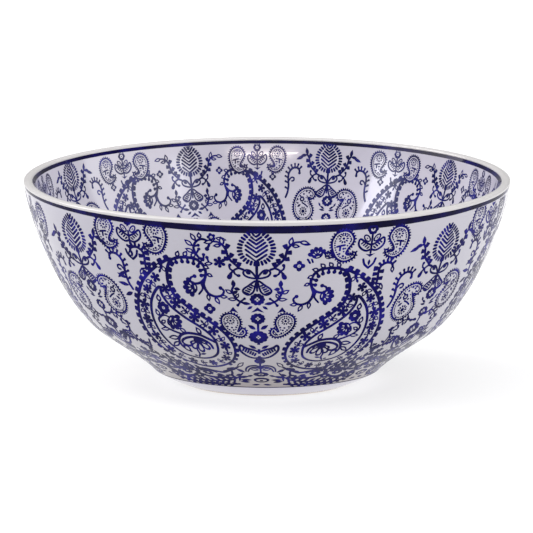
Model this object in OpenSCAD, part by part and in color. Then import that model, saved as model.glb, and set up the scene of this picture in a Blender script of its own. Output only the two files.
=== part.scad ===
// Large porcelain serving bowl on a low foot ring, decorated in cobalt blue.
// Units are millimetres. The foot stands on z = 0 and +Z is the axis of the bowl.
// One surface path runs from the foot joint up the outside, over the lip and down to the
// middle of the floor. Every layer is a strip between two depths below that path.

/* [Bowl] */
// Diameter over the lip
rim_d = 356; // [346:1:366]
// Height of the lip above the table
bowl_h = 150; // [146:1:154]
// Thickness of the wall where the sides are steep
wall_t = 7; // [6.5:0.25:7.5]
// Thickness of the floor
floor_t = 9; // [8:0.5:10]

/* [Lip] */
// Width of the white lip seen from above
lip_w = 6.6; // [6:0.1:7]
// Height of the arched top of the lip
lip_crown = 1.6; // [1.2:0.1:2]

/* [Foot] */
// Height of the foot ring
foot_h = 10; // [8:0.5:11]
// Radius of the joint between the foot ring and the wall
foot_joint_r = 83; // [80:0.5:86]
// Outer radius of the edge that the bowl stands on
foot_stand_r = 62; // [58:0.5:66]
// Inner radius of the foot ring
foot_bore_r = 55; // [50:0.5:56]
// Height of the bare edge that the glaze stops above
bare_edge_h = 1; // [0.6:0.1:1.4]

/* [Glaze and decoration] */
// Thickness of the glaze coats
glaze_t = 0.6; // [0.5:0.05:0.8]
// Thickness of the cobalt print and bands, fired into the glaze
cobalt_t = 0.3; // [0.25:0.05:0.35]
// Width of the cobalt band outside the rim
outer_band_w = 5.75; // [4:0.25:7]
// Distance from the top of the lip down to that band
outer_band_drop = 3.5; // [3:0.25:5]
// Depth of the cobalt band inside the rim
inner_band_w = 2.2; // [1.6:0.2:2.4]
// Width of the thin cobalt line above the foot
foot_line_w = 0.9; // [0.7:0.1:1.2]

/* [Hidden] */
$fn = 120;

rim_r = rim_d / 2;
lip_side_z = bowl_h - lip_crown;            // level of the widest point
floor_z = foot_h + floor_t;                 // inside floor at the axis
base_z = foot_h - glaze_t;                  // underside of the coat in the foot recess

// Outside of the wall: two tangent curves that meet at the belly
joint = [foot_joint_r, foot_h];
belly = [0.6854 * rim_r, 0.26 * bowl_h];
band_foot = [rim_r - 1.3, bowl_h - outer_band_drop - outer_band_w];
band_head = [rim_r - 0.4, bowl_h - outer_band_drop];
lower_wall = [
    joint,
    joint + [0.042 * rim_r, 0.057 * bowl_h],
    belly - [0.073 * rim_r, 0.060 * bowl_h],
    belly
];
upper_wall = [
    belly,
    belly + [0.1433 * rim_r, 0.1167 * bowl_h],
    band_foot - [0.0360 * rim_r, 0.2050 * bowl_h],
    band_foot
];

// Inside of the wall: it follows the outside at the wall's thickness
lip_inner = [rim_r - lip_w, lip_side_z];
inner_band_head = lip_inner - [0, 0.3];
inner_band_foot = lip_inner - [1.9, 0.3 + inner_band_w];
inner_belly = belly + [-0.64 * wall_t, 0.96 * wall_t];
inner_wall = [
    inner_band_foot,
    inner_band_foot - [0.0390 * rim_r, 0.2400 * bowl_h],
    inner_belly + [0.1433 * rim_r, 0.1167 * bowl_h],
    inner_belly
];
inner_floor = [
    inner_belly,
    inner_belly - [0.2150 * rim_r, 0.1750 * bowl_h],
    [0.3000 * rim_r, floor_z],
    [0, floor_z]
];

// Points of a cubic curve after its first point
function cubic(c, u) =
    pow(1 - u, 3) * c[0] + 3 * pow(1 - u, 2) * u * c[1] + 3 * (1 - u) * u * u * c[2] + pow(u, 3) * c[3];
function cubic_points(c, n) = [for (i = [1:n]) cubic(c, i / n)];
// The arched top of the lip, from its widest point to its inner side
function crown_points(n) = [
    for (i = [1:n])
        [rim_r - lip_w / 2 + lip_w / 2 * cos(180 * i / n), lip_side_z + lip_crown * sin(180 * i / n)]
];

// How many steps each stretch of the surface path takes
n_line = 1;
n_lower = 12;
n_upper = 22;
n_crown = 12;
n_inner = 22;
n_floor = 20;
line_head = joint + foot_line_w * (lower_wall[1] - joint) / norm(lower_wall[1] - joint);
surface = concat(
    [joint, line_head],
    [for (i = [1:n_lower]) let (u = i / n_lower) cubic(lower_wall, 0.06 + 0.94 * u)],
    cubic_points(upper_wall, n_upper),
    [band_head, [rim_r, lip_side_z]],
    crown_points(n_crown),
    [inner_band_head, inner_band_foot],
    cubic_points(inner_wall, n_inner),
    cubic_points(inner_floor, n_floor)
);

// Where the layers begin and end along that path
i_line = n_line;
i_band_foot = i_line + n_lower + n_upper;
i_band_head = i_band_foot + 1;
i_inner_head = i_band_head + 1 + n_crown + 1;
i_inner_foot = i_inner_head + 1;
i_axis = len(surface) - 1;

// The direction into the clay at each point of the path
function along(i) =
    i == i_axis ? [-1, 0] :
    i == 0 ? [0, 1] :
    let (d = surface[i + 1] - surface[i - 1]) d / norm(d);
function inward(i) = [-along(i)[1], along(i)[0]];
function at_depth(i, d) = let (p = surface[i] + d * inward(i)) [max(p[0], 0), p[1]];
function path_at(a, b, d) = [for (i = [a:b]) at_depth(i, d)];
function backwards(list) = [for (i = [len(list) - 1:-1:0]) list[i]];

// A ring between two depths, along one stretch of the path
module layer(a, b, top, bottom) {
    rotate_extrude()
        polygon(concat(path_at(a, b, top), backwards(path_at(a, b, bottom))));
}

// Outside of the foot ring: a shallow convex curve, from the standing edge to the joint
function foot_side(d, z_from, z_to, n) = [
    for (i = [0:n])
        let (
            z = z_from + (z_to - z_from) * i / n,
            u = z / foot_h,
            bulge = 4.6 * u * (1 - u)
        )
        [foot_stand_r + (foot_joint_r - foot_stand_r) * u + bulge - d, z]
];
foot_coat_t = 1.6 * glaze_t;                // measured level, so the slanting coat is glaze_t thick
foot_side_steps = 8;

// Clay body: wall, lip and floor in one piece
module bowl_body() {
    color("gainsboro")
        rotate_extrude()
            polygon(concat(path_at(0, i_axis, glaze_t), [[0, foot_h]]));
}

// Clay foot ring, bare at the edge that it stands on
module foot_ring() {
    color("linen")
        rotate_extrude()
            polygon(concat(
                [[foot_bore_r, 0]],
                foot_side(0, 0, bare_edge_h, 1),
                foot_side(foot_coat_t, bare_edge_h, foot_h, foot_side_steps),
                [[foot_bore_r + glaze_t, foot_h], [foot_bore_r + glaze_t, bare_edge_h],
                 [foot_bore_r, bare_edge_h]]
            ));
}

// Glaze on the outside of the wall, with the print and the foot line sunk into it
module outer_glaze() {
    color("whitesmoke")
        rotate_extrude()
            polygon(concat(
                path_at(0, i_band_head, cobalt_t),
                backwards(path_at(0, i_band_head, glaze_t))
            ));
}

// Glaze over the lip and down the inside, with the inner band and print sunk into it
module inner_glaze() {
    color("white")
        rotate_extrude()
            polygon(concat(
                path_at(i_band_head, i_inner_head, 0),
                path_at(i_inner_head, i_axis, cobalt_t),
                backwards(path_at(i_band_head, i_axis, glaze_t))
            ));
}

// Glaze on the outside of the foot ring
module foot_glaze() {
    color("lavender")
        rotate_extrude()
            polygon(concat(
                foot_side(0, bare_edge_h, foot_h, foot_side_steps),
                backwards(foot_side(foot_coat_t, bare_edge_h, foot_h, foot_side_steps))
            ));
}

// Glaze in the recess under the floor and on the inner side of the foot ring
module base_glaze() {
    color("whitesmoke")
        rotate_extrude()
            polygon([
                [0, base_z], [foot_bore_r, base_z], [foot_bore_r, bare_edge_h],
                [foot_bore_r + glaze_t, bare_edge_h], [foot_bore_r + glaze_t, foot_h], [0, foot_h]
            ]);
}

// Cobalt transfer print that covers the outside of the wall
module outer_print() {
    color("midnightblue")
        layer(i_line, i_band_foot, 0, cobalt_t);
}

// Cobalt transfer print that covers the inside of the wall and the floor
module inner_print() {
    color("midnightblue")
        layer(i_inner_foot, i_axis, 0, cobalt_t);
}

// Cobalt band painted round the outside of the rim
module outer_rim_band() {
    color("navy")
        layer(i_band_foot, i_band_head, 0, cobalt_t);
}

// Cobalt band painted round the inner edge of the lip
module inner_rim_band() {
    color("navy")
        layer(i_inner_head, i_inner_foot, 0, cobalt_t);
}

// Thin cobalt line where the wall meets the foot
module foot_line() {
    color("navy")
        layer(0, i_line, 0, cobalt_t);
}

bowl_body();
foot_ring();
outer_glaze();
inner_glaze();
foot_glaze();
base_glaze();
outer_print();
inner_print();
outer_rim_band();
inner_rim_band();
foot_line();
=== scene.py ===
"""Looks of the porcelain serving bowl: glaze coats, painted bands and the cobalt print."""
import math

import bpy
import numpy as np
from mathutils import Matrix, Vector
from mathutils.geometry import delaunay_2d_cdt


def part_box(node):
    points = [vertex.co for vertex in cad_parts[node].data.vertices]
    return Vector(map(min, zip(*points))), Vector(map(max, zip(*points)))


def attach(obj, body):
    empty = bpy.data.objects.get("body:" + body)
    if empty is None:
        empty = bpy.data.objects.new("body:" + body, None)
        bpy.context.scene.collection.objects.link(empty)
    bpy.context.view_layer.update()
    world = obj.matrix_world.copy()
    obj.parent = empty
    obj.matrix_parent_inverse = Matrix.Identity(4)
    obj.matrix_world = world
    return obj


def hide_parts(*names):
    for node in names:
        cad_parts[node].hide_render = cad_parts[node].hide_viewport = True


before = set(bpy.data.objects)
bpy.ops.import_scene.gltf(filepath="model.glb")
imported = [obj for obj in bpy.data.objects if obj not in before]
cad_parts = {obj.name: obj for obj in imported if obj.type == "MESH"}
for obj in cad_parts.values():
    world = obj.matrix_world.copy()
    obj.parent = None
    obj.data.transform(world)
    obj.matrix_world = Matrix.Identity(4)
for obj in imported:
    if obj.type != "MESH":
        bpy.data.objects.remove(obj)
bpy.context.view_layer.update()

MM = 0.001

# ---------------------------------------------------------------------------
# Driving dimensions in millimetres, read from the frame or shared with the CAD
# ---------------------------------------------------------------------------
RIM_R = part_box("inner_glaze")[1].x / MM
BOWL_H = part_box("inner_glaze")[1].z / MM
FOOT_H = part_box("foot_glaze")[1].z / MM
JOINT_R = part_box("foot_glaze")[1].x / MM
BARE_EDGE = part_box("foot_glaze")[0].z / MM
STAND_R = 62.0
BORE_R = 55.0
WALL_T = 7.0
FLOOR_T = 9.0
GLAZE_T = 0.6
COBALT_T = 0.3
LIP_W = 6.6
LIP_CROWN = 1.6
OUTER_BAND_DROP = 3.5
OUTER_BAND_W = 5.75
INNER_BAND_W = 2.2
INNER_BAND_DROP = 0.3
FOOT_LINE_W = 0.9
FOOT_SWELL = 4.6                           # bulge of the foot's side between its edge and the joint
FLOOR_Z = FOOT_H + FLOOR_T
LIP_SIDE_Z = BOWL_H - LIP_CROWN

# ---------------------------------------------------------------------------
# The surface of the bowl: one path from the foot joint up, over the lip and down to
# the middle of the floor. A profile point is (radius, height) in millimetres.
# ---------------------------------------------------------------------------
CURVE_POINTS = 40


def xy(r, z):
    return np.array([r, z], float)


def cubic(a, b, c, d, start=0.0):
    """Points along a cubic curve, its first point left out."""
    u = np.linspace(start, 1, CURVE_POINTS + 1)[1:, None]
    return (1 - u) ** 3 * a + 3 * (1 - u) ** 2 * u * b + 3 * (1 - u) * u ** 2 * c + u ** 3 * d


joint = xy(JOINT_R, FOOT_H)
belly = xy(0.6854 * RIM_R, 0.26 * BOWL_H)
band_foot = xy(RIM_R - 1.3, BOWL_H - OUTER_BAND_DROP - OUTER_BAND_W)
band_head = xy(RIM_R - 0.4, BOWL_H - OUTER_BAND_DROP)
lip_side = xy(RIM_R, LIP_SIDE_Z)
lip_inner = xy(RIM_R - LIP_W, LIP_SIDE_Z)
inner_head = lip_inner - xy(0, INNER_BAND_DROP)
inner_foot = lip_inner - xy(1.9, INNER_BAND_DROP + INNER_BAND_W)
inner_belly = belly + xy(-0.64, 0.96) * WALL_T

lower_way = xy(0.042 * RIM_R, 0.057 * BOWL_H)
line_head = joint + FOOT_LINE_W * lower_way / np.linalg.norm(lower_way)
lower_wall = cubic(joint, joint + lower_way, belly - xy(0.073 * RIM_R, 0.060 * BOWL_H), belly, 0.06)
belly_way = xy(0.1433 * RIM_R, 0.1167 * BOWL_H)
upper_wall = cubic(belly, belly + belly_way, band_foot - xy(0.0360 * RIM_R, 0.2050 * BOWL_H), band_foot)
inner_rise = inner_foot - xy(0.0390 * RIM_R, 0.2400 * BOWL_H)
inner_wall = cubic(inner_foot, inner_rise, inner_belly + belly_way, inner_belly)
inner_turn = inner_belly - xy(0.2150 * RIM_R, 0.1750 * BOWL_H)
inner_floor = cubic(inner_belly, inner_turn, xy(0.3000 * RIM_R, FLOOR_Z), xy(0, FLOOR_Z))
over = np.linspace(0, np.pi, 17)[1:]
crown = np.stack([RIM_R - LIP_W / 2 + LIP_W / 2 * np.cos(over), LIP_SIDE_Z + LIP_CROWN * np.sin(over)], 1)


def unit_along(path):
    """The direction of travel at each point of a profile."""
    d = np.gradient(path, axis=0)
    return d / np.maximum(np.linalg.norm(d, axis=1)[:, None], 1e-9)


def offset(path, depth):
    """The path moved to its left, which is into the clay, by depth."""
    d = unit_along(path)
    return path + depth * np.stack([-d[:, 1], d[:, 0]], 1)

# ---------------------------------------------------------------------------
# Print art. A point is a complex number in millimetres: real part to the right,
# imaginary part down from the lip. Angles turn from right (0) towards down (90).
# Art is a list of (ink, outline) pairs, and each pair covers what comes before it.
# ---------------------------------------------------------------------------
INK, PAPER = True, False
ART_R = 170.0                              # radius at which the print's degrees become millimetres
MM_PER_DEG = math.radians(ART_R)
CURVE_STEP = 1.5                           # spacing of points along a line
SPREAD = 1.75                              # how much wider a line fires than it is drawn
LINE = 1.0                                 # usual width of a line
OPEN = 1.15                                # how much wider an open leaf is drawn than a solid one


def spot(degrees, down):
    return complex(degrees * MM_PER_DEG, down)


def route(*points):
    return np.array([spot(*p) for p in points])


def turned(degrees):
    return complex(math.cos(math.radians(degrees)), math.sin(math.radians(degrees)))


def smooth(points, step, closed=False):
    """Points about one step apart on a Catmull-Rom curve through the given points."""
    p = np.asarray(points, complex)
    if closed:
        p = np.concatenate([p[-1:], p, p[:2]])
    else:
        p = np.concatenate([[2 * p[0] - p[1]], p, [2 * p[-1] - p[-2]]])
    out = []
    for a, b, c, d in zip(p, p[1:], p[2:], p[3:]):
        n = max(1, math.ceil(abs(c - b) / step))
        u = np.arange(n) / n
        out.append(b + 0.5 * u * (c - a + u * (2 * a - 5 * b + 4 * c - d + u * (3 * (b - c) + d - a))))
    if not closed:
        out.append(p[-2:-1])
    return np.concatenate(out)


def normals(p, closed=False):
    """Unit vectors across a line. On a closed line they point outward."""
    if not closed:
        along = np.gradient(p)
        return 1j * along / np.maximum(np.abs(along), 1e-9)
    along = np.roll(p, -1) - np.roll(p, 1)
    area = (p.conj() * np.roll(p, -1)).imag.sum()
    return -1j * np.sign(area) * along / np.maximum(np.abs(along), 1e-9)


def oval(centre, rx, ry=None, turn=0, sides=12):
    a = np.arange(sides) * 2 * np.pi / sides
    shape = rx * np.cos(a) + 1j * (rx if ry is None else ry) * np.sin(a)
    return [(INK, centre + shape * turned(turn))]


def strip(left, right):
    """Ink between two rows of points, as a row of quads."""
    return [(INK, np.array(q)) for q in zip(left, left[1:], right[1:], right)]


def line(points, width=LINE, end_width=None, step=CURVE_STEP):
    """An ink line with round ends. It may taper from width to end_width."""
    p = smooth(points, step) if len(points) > 2 else np.asarray(points, complex)
    half = SPREAD * np.linspace(width, width if end_width is None else end_width, len(p)) / 2
    side = normals(p) * half
    ends = oval(p[0], half[0], sides=8) + oval(p[-1], half[-1], sides=8)
    return strip(p - side, p + side) + ends


def vine(width, *points, end=None):
    """An ink line through places given as (degrees, level). It may taper to the width end."""
    return line(route(*points), width, end)


def each(make, rows, *form):
    """Art of one kind at several places. A row is degrees, level and what make needs before form."""
    return [shape for deg, down, *own in rows for shape in make(spot(deg, down), *own, *form)]


def leaves(*rows):
    """Leaves in rows of degrees, level, direction, length, width and the rim of an open one."""
    return each(leaf, rows)


def loop(points, width=LINE, step=CURVE_STEP):
    """A closed ink line."""
    p = smooth(points, step, closed=True)
    p = np.append(p, p[0])
    side = normals(p[:-1], closed=True) * SPREAD * width / 2
    side = np.append(side, side[0])
    return strip(p - side, p + side)


def cut(art):
    return [(PAPER, p) for _, p in art]


def moved(art, shift=0, turn=0, scale=1):
    return [(ink, shift + p * turned(turn) * scale) for ink, p in art]


def mirrored(art):
    """The same art on the other side of the column's axis."""
    return [(ink, -p.conj()) for ink, p in art]


def both_sides(art):
    return art + mirrored(art)


def leaf(base, turn, length, width, rim=0.0):
    """A pointed leaf. rim > 0 makes it an outline."""
    u = np.linspace(0, 1, 7)
    if rim:
        width = OPEN * width
    bow = width / 2 * np.sin(np.pi * u ** 0.9)
    shape = np.concatenate([u * length + 1j * bow, (u * length - 1j * bow)[-2:0:-1]])
    middle = length / 2
    art = [(INK, shape)]
    if rim:
        rim = rim * SPREAD
        inner = shape - middle
        inner = inner.real * (1 - 3.0 * rim / length) + 1j * inner.imag * (1 - 1.9 * rim / width)
        art.append((PAPER, middle + inner))
    return moved(art, base, turn)


def leaves_to(width, rim, *pairs):
    """Leaves of one width, each between two places: degrees and level of its base and of its tip."""
    art = []
    for deg, down, tip_deg, tip_down in pairs:
        way = spot(tip_deg, tip_down) - spot(deg, down)
        art += leaf(spot(deg, down), angle(way), abs(way), width, rim)
    return art


def drop(base, turn, length, width, rim=0.0):
    """A teardrop: a point at the base and a round far end."""
    a = np.linspace(0, 2 * np.pi, 15)[:-1]
    shape = length * (1 - np.cos(a)) / 2 + 0.62j * width * np.sin(a) * np.abs(np.sin(a / 2)) ** 1.3
    art = [(INK, shape)]
    if rim:
        middle = 0.6 * length
        art.append((PAPER, middle + (shape - middle) * (1 - 2.3 * SPREAD * rim / width)))
    return moved(art, base, turn)


def knob(base, turn, length, r=1.15, stalk=0.9):
    """A short stalk with a round head."""
    tip = base + length * turned(turn)
    return line([base, tip], stalk) + oval(tip, r, sides=9)


def block_leaf(base, turn, length=3.4, width=2.9):
    """A short leaf with a square end, on a narrow foot."""
    shape = np.array([
        -0.17j, 0.30 - 0.42j, 0.94 - 0.52j, 1.02 - 0.30j, 1.02 + 0.30j, 0.94 + 0.52j, 0.30 + 0.42j, 0.17j
    ])
    return [(INK, base + (shape.real * length + 1j * shape.imag * width) * turned(turn))]


def rosette(centre, rx, ry=None, lobes=10, depth=0.12):
    """A disc with a scalloped edge."""
    a = np.arange(lobes * 4) * np.pi / (lobes * 2)
    r = 1 - depth + depth * np.abs(np.cos(a * lobes / 2))
    return [(INK, centre + r * (rx * np.cos(a) + 1j * (rx if ry is None else ry) * np.sin(a)))]


def column_flower(centre, rx, ry, eye=0.3):
    """A scalloped disc with a pale four-petalled eye of radius eye * ry."""
    art = rosette(centre, rx, ry)
    for k in range(4):
        way = turned(90 * k)
        art += cut(oval(centre + 0.6 * eye * ry * way, 0.46 * eye * ry, 0.40 * eye * ry, 90 * k, 8))
    return art + cut(oval(centre, 0.55 * eye * ry, sides=8)) + oval(centre, 0.30 * eye * ry, sides=8)


def star_flower(centre, r=4.8, petals=5, turn=-90):
    """A solid flower with round petals set apart."""
    art = oval(centre, 0.50 * r, sides=8)
    for k in range(petals):
        way = turned(turn + 360 * k / petals)
        art += oval(centre + 0.68 * r * way, 0.35 * r, (0.56 - 0.04 * petals) * r, turn + 360 * k / petals, 8)
    return art


def ring_flower(centre, r, lobes=4, depth=0.2, eye=0.3):
    """A disc with lobes and a ringed eye of radius eye * r."""
    art = rosette(centre, r, lobes=lobes, depth=depth) + cut(oval(centre, eye * r, sides=8))
    return art + oval(centre, 0.35 * eye * r, sides=6)


def bead(centre, turn, w=3.6, h=4.6):
    """A rounded square that stands on a line, h along it and w out from it."""
    a = np.arange(12) * np.pi / 6 + np.pi / 12
    shape = np.sign(np.cos(a)) * np.abs(np.cos(a)) ** 0.6 * w / 2
    shape = shape + 1j * np.sign(np.sin(a)) * np.abs(np.sin(a)) ** 0.6 * h / 2
    return [(INK, centre + shape * turned(turn))]


def spaced(p, gap, closed=True):
    """Places at equal gaps along a path, and the direction outward at each."""
    q = np.append(p, p[0]) if closed else p
    far = np.concatenate([[0], np.cumsum(np.abs(np.diff(q)))])
    n = max(2, round(far[-1] / gap))
    t = (np.arange(n) + 0.5) * far[-1] / n
    at = np.interp(t, far, q.real) + 1j * np.interp(t, far, q.imag)
    out = normals(p, closed)
    out = np.append(out, out[0]) if closed else out
    way = np.interp(t, far, out.real) + 1j * np.interp(t, far, out.imag)
    return at, way / np.abs(way)


def angle(way):
    return math.degrees(math.atan2(way.imag, way.real))


# ---------------------------------------------------------------------------
# The flower column
# ---------------------------------------------------------------------------
def medallion(tip):
    """Nested chevrons in an almond ring of dashes. tip is the level of the almond's point."""
    art = []
    for k in range(8):
        apex = tip + 25.8 - 3.6 * k + 0.055 * k * k
        wide = min(7.0 + 0.5 * k, 10.2 - 1.35 * k)
        art += both_sides(line([complex(wide, apex - 0.76 * wide), complex(0, apex)], 1.05))
    a = np.linspace(0, np.pi / 2, 12)[:-1]
    u = np.linspace(0, 1, 14)
    middle = tip + 16.9
    edge = np.concatenate([
        11.9 * np.sin(a) + 1j * (middle + 11.0 * np.cos(a)), 11.9 * (1 - u ** 2.3) + 1j * (middle - 16.7 * u)
    ])
    for place, out in zip(*spaced(edge, 2.7, closed=False)):
        art += both_sides(line([place - 1.2 * out, place + 1.2 * out], 1.15))
    return art


def seeded_leaves(root):
    """The pair of round almonds with a seed, that grow up and out from the stem."""
    edge = (
        (0, 0), (1.0, -4.5), (1.9, -7), (2.8, -7), (3.3, -5.5), (3.2, -3.5), (2.6, -1.7), (1.4, -0.5), (0, 0)
    )
    right = vine(0.95, *edge) + leaf(spot(1.45, -3.7), -30, 4.8, 2.9)
    return moved(both_sides(right), complex(0, root))


def drooping_leaves(root):
    """The pair of teardrops with hatching, that hang below the almonds."""
    edge = ((0.3, 0.5), (2.1, 4.5), (3.4, 7.5), (3.6, 10), (2.9, 12), (2.1, 12.5), (1.1, 10.5), (0.6, 6.5))
    right = loop(route(*edge), 0.95, 1.2)
    for k in range(5):
        centre = spot(1.15 + 0.42 * k, 4.6 + 1.55 * k)
        reach = (0.7 + 0.28 * k) * turned(-24)
        right += line([centre - reach, centre + reach], 0.85)
    return moved(both_sides(right), complex(0, root))


def ear_leaves(root, spread=1.0):
    """The pair of long ears at the foot of the column, ruled with short bars."""
    edge = route(
        (0.4, -10), (1.7, -12), (3.5, -13.7), (4.7, -15.5), (5.5, -17.5), (6.0, -15.5), (6.0, -12),
        (5.4, -8.5), (4.2, -4.5), (3.0, -2), (1.5, -0.5), (0.4, -1.5)
    )
    right = line(edge, 1.4)
    for k in range(6):
        centre = spot(1.35 + 0.70 * k, -6.0 - 1.35 * k)
        reach = 1.5 * turned(65)
        right += line([centre - reach, centre + reach], 1.15)
    art = moved(both_sides(right), complex(0, root))
    return [(ink, p.real * spread + 1j * p.imag) for ink, p in art]


def column_foot():
    """What both columns have under the ear leaves: bud, arched leaves and flowers seen flat."""
    art = rosette(spot(0, 129.3), 5.9, 4.9, 9, 0.08)
    art += vine(1.3, (0, 134), (0, 151))
    right = vine(1.6, (0.2, 140.2), (1.8, 137.8), (4.2, 139.2), (5.6, 143.5), (6.0, 148.5), end=1.1)
    right += vine(1.5, (0.4, 142.6), (2.2, 140.8), (4.0, 143.2), (5.2, 148.8), end=1.0)
    right += leaves((0.6, 146.0, -14, 12.0, 4.2, 0.9), (3.4, 155.5, 14, 9.0, 2.8))
    right += leaves((5.4, 166.5, -4, 14.0, 3.0), (0.8, 169.6, 4, 12.0, 2.0))
    art += both_sides(right)
    art += rosette(spot(0, 153.6), 9.8, 3.9, 10, 0.08) + cut(oval(spot(0, 153.6), 3.6, 1.2))
    art += oval(spot(0, 153.6), 1.5, 0.6)
    art += oval(spot(0, 163), 10.8, 3.8, sides=14) + cut(oval(spot(0, 163.6), 7.2, 1.9))
    return art + oval(spot(0, 164), 2.4, 0.9)


def column_a():
    art = medallion(3.8)
    art += vine(1.35, (0, 31), (0, 54.5), end=0.9)
    art += seeded_leaves(44) + drooping_leaves(45.5)
    art += column_flower(spot(0, 62), 6.0, 5.5, 0.36)
    chevron = [(INK, route((0, 69), (1.75, 73.8), (0.9, 73.3), (0, 72.2)))]
    art += both_sides(leaves((1.3, 68.2, 32, 5.2, 2.4)) + chevron)
    art += column_flower(spot(0, 79.7), 6.3, 5.3, 0.36)
    art += vine(1.2, (0, 84), (0, 92)) + both_sides(leaves((0.7, 89.9, -33, 7.6, 3.5)))
    art += column_flower(spot(0, 98), 8.8, 6.6, 0.3)
    art += vine(1.5, (0, 103), (0, 126)) + both_sides(leaves((0.8, 110.7, -30, 7.8, 3.3)))
    return art + ear_leaves(124.5) + column_foot()


def column_b():
    art = medallion(11.8)
    art += vine(1.35, (0, 39.5), (0, 61), end=0.9)
    art += seeded_leaves(51.5) + drooping_leaves(52.8)
    art += column_flower(spot(0.6, 69), 6.0, 5.5, 0.44)
    right = leaves((0.9, 77.0, -32, 6.0, 2.1), (2.4, 74.6, -60, 4.6, 2.0), (0.7, 78.4, -8, 6.4, 2.0))
    art += moved(both_sides(right), spot(0.7, 0)) + column_flower(spot(0.8, 85.5), 5.6, 4.7, 0.5)
    art += vine(1.1, (0.7, 89), (0.7, 97)) + column_flower(spot(0.8, 102.4), 8.2, 6.3, 0.46)
    art += vine(1.4, (0.7, 108), (0.4, 126))
    art += moved(both_sides(leaves((0.9, 112.7, -25, 7.0, 2.9))), spot(0.7, 0))
    return art + moved(ear_leaves(125.5, 0.82), spot(0.5, 0)) + column_foot()


# ---------------------------------------------------------------------------
# Vines and sprigs beside the columns, drawn on the right of the axis
# ---------------------------------------------------------------------------
def side_vine(open_leaves=True):
    """The vine that leaves the almond leaves, forks, and climbs past the medallion."""
    art = vine(1.1, (3.3, 36.6), (4.3, 35.3), (5.0, 33), (6.2, 29.5), (6.9, 25.5), (7.3, 20.5), (8.1, 16.5))
    art += vine(1.0, (4.3, 35.3), (5.3, 36.6), (6.0, 38.6), (6.6, 40.5)) + drop(spot(6.0, 38.5), 62, 7.2, 4.2)
    art += vine(0.9, (5.7, 37.8), (6.5, 36.3), (6.7, 33.6)) + oval(spot(6.5, 33), 1.3)
    art += vine(0.9, (5.6, 38.2), (5.4, 40.2), (4.7, 41.6)) + oval(spot(4.5, 41.7), 1.6, 1.3)
    blocks = (
        (4.5, 34.6, -105), (5.3, 31.8, -95), (6.5, 28.3, -8), (6.4, 27.2, -118), (7.0, 22.9, -4),
        (7.2, 20.0, -115)
    )
    rim = 0.75 if open_leaves else 0.0
    art += each(block_leaf, blocks, 4.2, 3.7)
    art += leaves((7.9, 17.6, -78, 7.6, 3.6, rim), (8.2, 17.2, 8, 6.6, 3.0, rim))
    if open_leaves:
        art += vine(0.9, (8.2, 16.5), (9.1, 14.8), (10.2, 14.4))
        return art + leaves((10.0, 14.3, 12, 8.0, 3.4, rim))
    return art + vine(0.9, (8.2, 17), (9.1, 18.4), (9.6, 18.6)) + leaves((9.2, 18.5, 22, 9.0, 3.2))


def wreath_vine():
    """The leafy half wreath beside the drooping leaves."""
    art = vine(1.05, (2.6, 66), (4.2, 64.6), (5.4, 62), (6.1, 58), (6.4, 54), (5.9, 50.6))
    art += leaves(
        (5.9, 51.8, -88, 6.6, 3.5), (5.9, 52.8, 172, 5.0, 3.2), (6.3, 57.0, 205, 4.6, 3.0),
        (6.3, 57.4, -32, 6.8, 3.3, 0.7), (5.6, 61.6, -118, 5.6, 2.7, 0.65), (5.2, 62.4, -3, 8.0, 3.1, 0.7),
        (4.2, 65.2, 172, 7.4, 2.9)
    )
    return art + each(knob, ((4.4, 64.2, 55, 4.0, 1.3), (4.4, 64.2, -140, 4.2, 1.2)))


def daisy(centre, r, eye):
    """A dot and a ring of short petals."""
    art = oval(centre, eye, sides=8)
    for k in range(10):
        art += oval(centre + 0.72 * r * turned(36 * k), 0.27 * r, 0.17 * r, 36 * k, 6)
    return art


def spiky_paisley(edge, detail, gap=2.1, tooth=1.8):
    """A closed outline with blunt teeth outside and a dotted line inside."""
    outline = smooth(edge, 1.2, closed=True)
    way = normals(outline, closed=True)
    art = []
    for place, out in zip(*spaced(outline, gap)):
        side, point = 0.42 * gap * 1j * out, tooth * out
        art += [(INK, place + np.array([-side, point - 0.5 * side, point + 0.5 * side, side]))]
    art += [(INK, outline + 0.7 * way), (PAPER, outline - 0.95 * way)]
    for place, out in zip(*spaced(outline, 2.2)):
        art += oval(place - 2.3 * out, 0.72, sides=6)
    return art + detail


def rim_paisley():
    """The small paisley under the rim: a round head with a daisy, and a foot that curls to the right."""
    edge = np.array([
        0.6 - 12.1j, 5.4 - 10.4j, 8.3 - 5.4j, 7.4 - 1.4j, 4.8 + 2.2j, 3.2 + 6.2j, 6.0 + 7.3j, 9.0 + 5.4j,
        10.6 + 6.6j, 9.4 + 9.6j, 5.6 + 12.0j, 1.0 + 12.6j, -3.8 + 9.8j, -6.6 + 5.0j, -8.0 + 0j, -7.8 - 5.0j,
        -4.8 - 10.2j
    ])
    detail = daisy(0.4 - 5.8j, 4.0, 1.0)
    detail += line([-4.0 + 0.4j, -1.4 - 0.2j, 1.6 - 0.6j], 0.9) + line([-1.6 + 0.2j, -1.8 + 3.4j], 0.9)
    for dot in (0.8 + 2.2j, -1.9 + 6.2j, 1.0 + 8.2j):
        detail += oval(dot, 1.0, sides=6)
    return spiky_paisley(edge, detail)


def carnation(centre, turn, r):
    """A fan of dark lobes on a cup with pale slits."""
    art = []
    for a in (-66, -33, 0, 33, 66):
        art += oval(centre + 0.76 * r * turned(turn + a), 0.34 * r, 0.27 * r, turn + a, 9)
    art += oval(centre + 0.14 * r * turned(turn), 0.54 * r, 0.66 * r, turn, 12)
    for a in (-58, -20, 20, 58):
        art += cut(oval(centre + 0.42 * r * turned(turn + a), 0.15 * r, 0.07 * r, turn + a, 6))
    return art + cut(oval(centre - 0.16 * r * turned(turn), 0.07 * r, 0.22 * r, turn, 6))


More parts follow.
